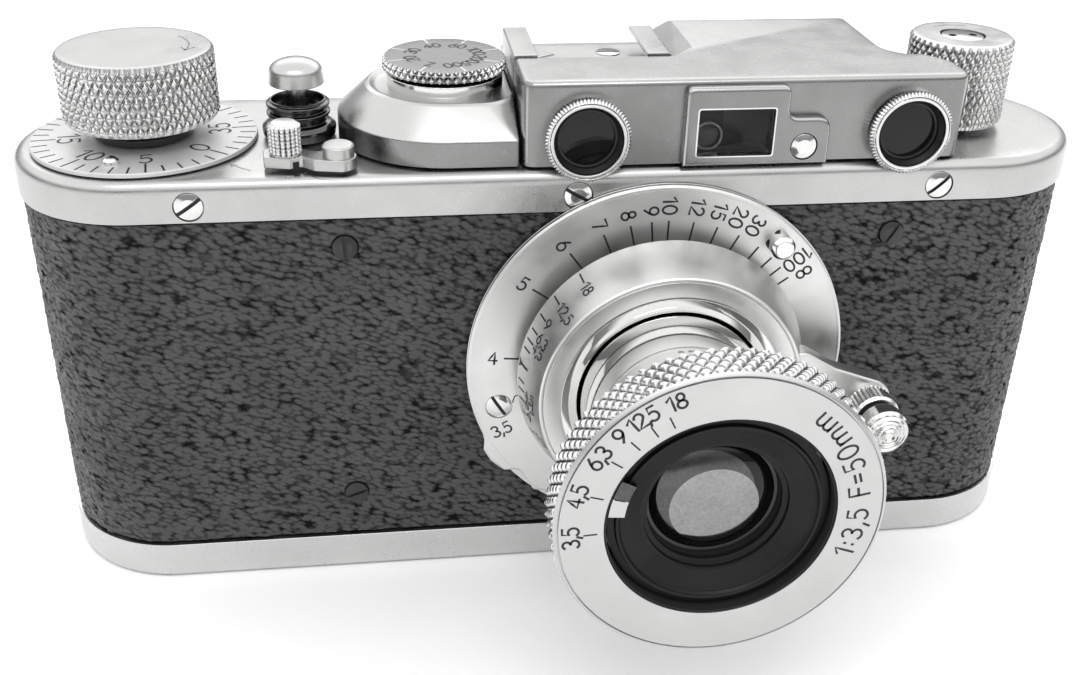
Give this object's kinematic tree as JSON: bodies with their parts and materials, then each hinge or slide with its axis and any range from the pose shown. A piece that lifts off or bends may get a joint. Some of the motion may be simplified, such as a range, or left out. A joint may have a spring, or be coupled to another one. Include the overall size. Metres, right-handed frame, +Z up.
{
  "type": "rangefinder camera",
  "caption": "Compact 35 mm rangefinder camera: round-ended covered body, top plate with knobs, dials and finder housing, collapsible lens, removable base plate",
  "frame": {"origin": "centre of the base plate's underside, on the surface the camera stands on", "axes": "+X to the right as seen from the front (the rewind knob's side), the lens points along -Y, +Z up"},
  "size_m": [0.133, 0.064, 0.0672],
  "materials": {
    "satin_chrome": "satin chrome plate with a fine grain, bright on its rounded edges",
    "polished_steel": "polished turned metal",
    "blackened_steel": "blackened metal, slightly shiny",
    "black_paint": "dull black paint",
    "covering": "black pebbled hard covering with a worn sheen",
    "glass": "clear optical glass",
    "brass": "plain turned brass",
    "curtain_cloth": "black rubberised cloth"
  },
  "bodies": {
    "body": {"body_shell": "blackened_steel", "leather_covering": "covering", "top_plate": "satin_chrome", "top_plate_screw_1": "polished_steel", "top_plate_screw_2": "polished_steel", "top_plate_screw_3": "polished_steel", "covering_screw_1": "polished_steel", "covering_screw_2": "polished_steel", "covering_screw_3": "polished_steel", "dial_boss": "satin_chrome", "dial_collar": "polished_steel", "rangefinder_housing": "satin_chrome", "accessory_shoe": "satin_chrome", "viewfinder_frame": "satin_chrome", "viewfinder_frame_screw": "polished_steel", "viewfinder_glass": "glass", "window_ring_left": "polished_steel", "window_glass_left": "glass", "window_ring_right": "polished_steel", "window_glass_right": "glass", "viewfinder_eyepiece": "blackened_steel", "rangefinder_eyepiece": "blackened_steel", "release_collar": "blackened_steel", "shutter_crate": "black_paint", "pressure_plate": "blackened_steel", "shutter_curtain": "curtain_cloth", "shutter_roller": "brass", "mount_ring": "satin_chrome", "lens_flange": "satin_chrome", "focus_stop_stud": "polished_steel"},
    "base": {"base_plate": "satin_chrome", "tripod_bush": "polished_steel"},
    "base_key": {"base_lock_key": "satin_chrome"},
    "key_handle": {"base_key_handle": "polished_steel"},
    "wind": {"wind_knob": "satin_chrome", "wind_shaft": "blackened_steel", "take_up_spool": "black_paint"},
    "counter": {"counter_disc": "satin_chrome"},
    "release": {"release_button": "polished_steel"},
    "dial_shaft": {"speed_dial_shaft": "brass"},
    "dial": {"speed_dial": "satin_chrome"},
    "rewind": {"rewind_shaft": "polished_steel"},
    "rewind_grip": {"rewind_knob": "satin_chrome", "rewind_knob_nut": "polished_steel"},
    "lever": {"rewind_lever": "satin_chrome", "rewind_lever_cap": "polished_steel", "rewind_lever_peg": "polished_steel"},
    "helicoid": {"helicoid_ring": "brass"},
    "focus": {"focus_cone": "satin_chrome", "focus_lever": "satin_chrome"},
    "infinity_lock": {"infinity_button": "polished_steel"},
    "bayonet": {"bayonet_ring": "brass"},
    "tube": {"lens_tube": "polished_steel", "front_barrel": "satin_chrome", "lens_cell": "black_paint", "front_element": "glass", "rear_element": "glass"},
    "aperture": {"aperture_ring": "black_paint", "iris_ring": "blackened_steel"}
  },
  "joints": [
    {"name": "base_hinge", "type": "hinge", "parent": "body", "child": "base", "pos_m": [-0.066, 0, 0.005], "axis": [0, 1, 0], "range_deg": [0, 25]},
    {"name": "base_lock_turn", "type": "hinge", "parent": "base", "child": "base_key", "pos_m": [0.051, 0, 0], "axis": [0, 0, -1], "range_deg": [0, 180]},
    {"name": "key_handle_fold", "type": "hinge", "parent": "base_key", "child": "key_handle", "pos_m": [0.051, 0, 0.00052], "axis": [-1, 0, 0], "range_deg": [0, 90]},
    {"name": "wind_turn", "type": "hinge", "parent": "body", "child": "wind", "pos_m": [-0.0511, -0.0003, 0.06], "axis": [0, 0, 1], "continuous": true},
    {"name": "counter_turn", "type": "hinge", "parent": "body", "child": "counter", "pos_m": [-0.0511, -0.0003, 0.0562], "axis": [0, 0, 1], "continuous": true},
    {"name": "release_press", "type": "slide", "parent": "body", "child": "release", "axis": [0, 0, -1], "range_m": [0, 0.0015], "stiffness_N_per_m": 1000, "springref_m": -0.0008},
    {"name": "dial_turn", "type": "hinge", "parent": "body", "child": "dial_shaft", "pos_m": [-0.0147, -0.0003, 0.06], "axis": [0, 0, 1], "continuous": true},
    {"name": "dial_lift", "type": "slide", "parent": "dial_shaft", "child": "dial", "axis": [0, 0, 1], "range_m": [0, 0.0012], "stiffness_N_per_m": 400, "springref_m": -0.0015},
    {"name": "rewind_turn", "type": "hinge", "parent": "body", "child": "rewind", "pos_m": [0.0512, -0.0003, 0.06], "axis": [0, 0, 1], "continuous": true},
    {"name": "rewind_lift", "type": "slide", "parent": "rewind", "child": "rewind_grip", "axis": [0, 0, 1], "range_m": [0, 0.004]},
    {"name": "lever_turn", "type": "hinge", "parent": "body", "child": "lever", "pos_m": [-0.0277, -0.0123, 0.057], "axis": [0, 0, 1], "range_deg": [0, 60]},
    {"name": "focus_turn", "type": "hinge", "parent": "body", "child": "helicoid", "pos_m": [0.0107, -0.0182, 0.0301], "axis": [0, 1, 0], "range_deg": [-21.5, 136.5]},
    {"name": "focus_shift", "type": "slide", "parent": "helicoid", "child": "focus", "axis": [0, 1, 0], "range_m": [-0.00032, 0.00208]},
    {"name": "infinity_press", "type": "slide", "parent": "focus", "child": "infinity_lock", "axis": [0, 1, 0], "range_m": [0, 0.001], "stiffness_N_per_m": 600, "springref_m": -0.0006},
    {"name": "bayonet_turn", "type": "hinge", "parent": "focus", "child": "bayonet", "pos_m": [0.0107, -0.0215, 0.0301], "axis": [0, 1, 0], "range_deg": [-20, 0]},
    {"name": "tube_slide", "type": "slide", "parent": "bayonet", "child": "tube", "axis": [0, 1, 0], "range_m": [0, 0.0175]},
    {"name": "aperture_turn", "type": "hinge", "parent": "tube", "child": "aperture", "pos_m": [0.0107, -0.047, 0.0301], "axis": [0, 1, 0], "range_deg": [-16.5, 47.5]}
  ],
  "couplings": [
    {"joint": "counter_turn", "follows": "wind_turn", "ratio": -0.025},
    {"joint": "focus_turn", "follows": "focus_shift", "rad_per_m": 1142.9}
  ]
}
